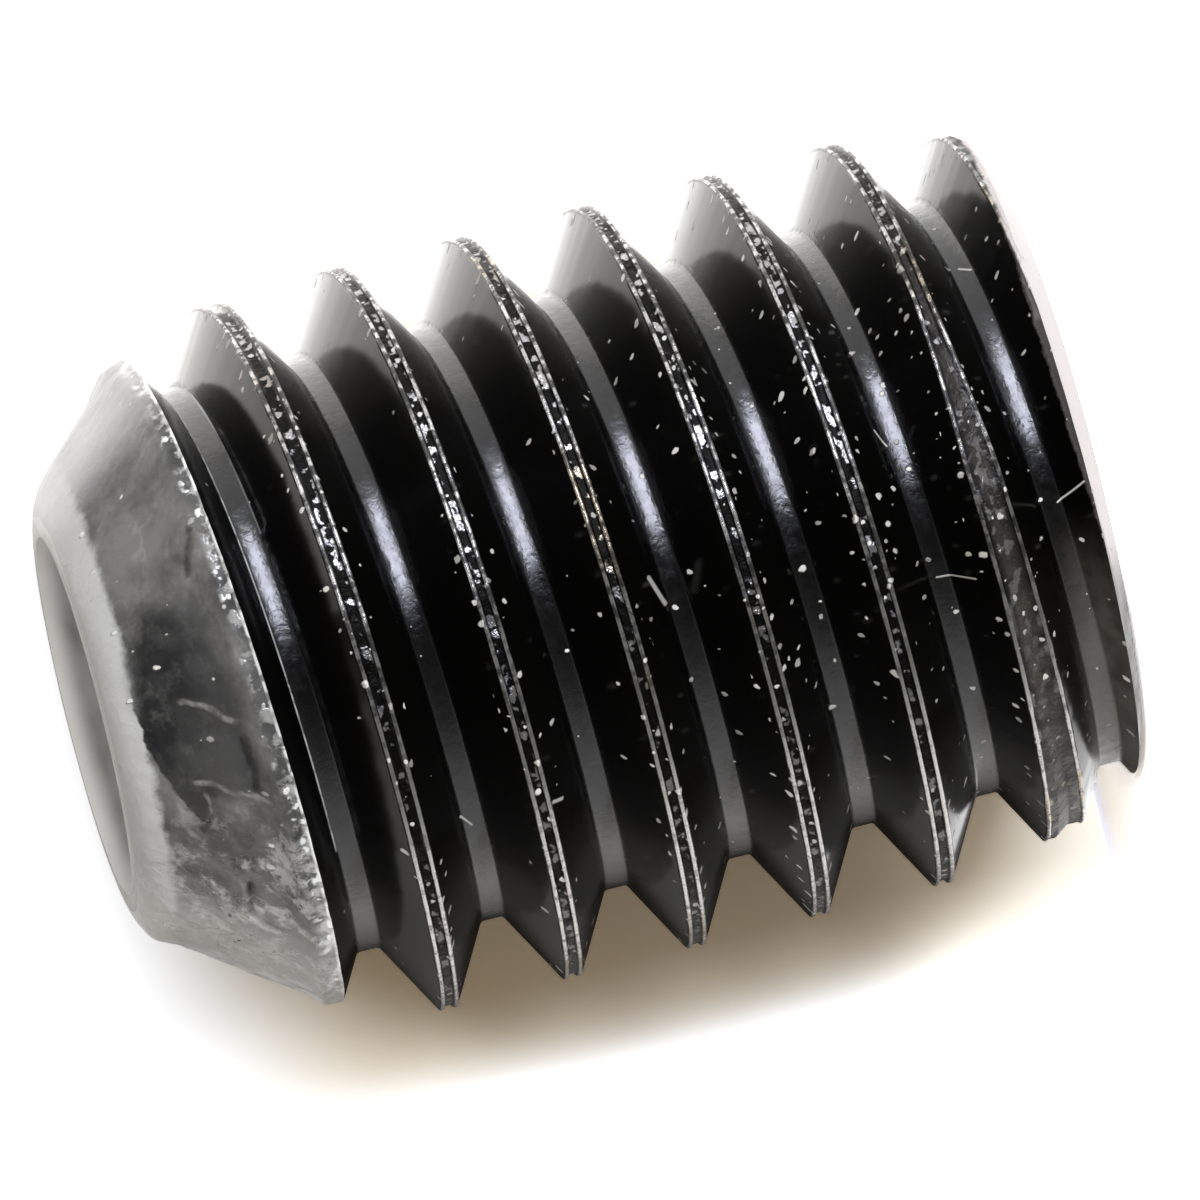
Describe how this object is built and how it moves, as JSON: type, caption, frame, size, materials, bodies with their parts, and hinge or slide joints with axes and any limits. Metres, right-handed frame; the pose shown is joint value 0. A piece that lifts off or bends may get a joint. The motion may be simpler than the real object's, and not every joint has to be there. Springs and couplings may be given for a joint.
{
  "type": "grub set screw",
  "caption": "Headless socket set screw with a cup point, a metric coarse thread along its whole length and a hexagon socket in its end.",
  "frame": {"origin": "centre of the flat end face at the socket end, on the screw's axis; the screw stands on that face", "axes": "+Z along the screw's axis from the socket end to the cup point; +X through a corner of the hexagon socket"},
  "size_m": [0.0058, 0.0058, 0.0079],
  "materials": {
    "black_oxide_steel": "black oxide, glossy thread flanks and roots, satin point cone, lightly worn crests"
  },
  "bodies": {
    "root": {"set_screw": "black_oxide_steel"}
  },
  "joints": []
}
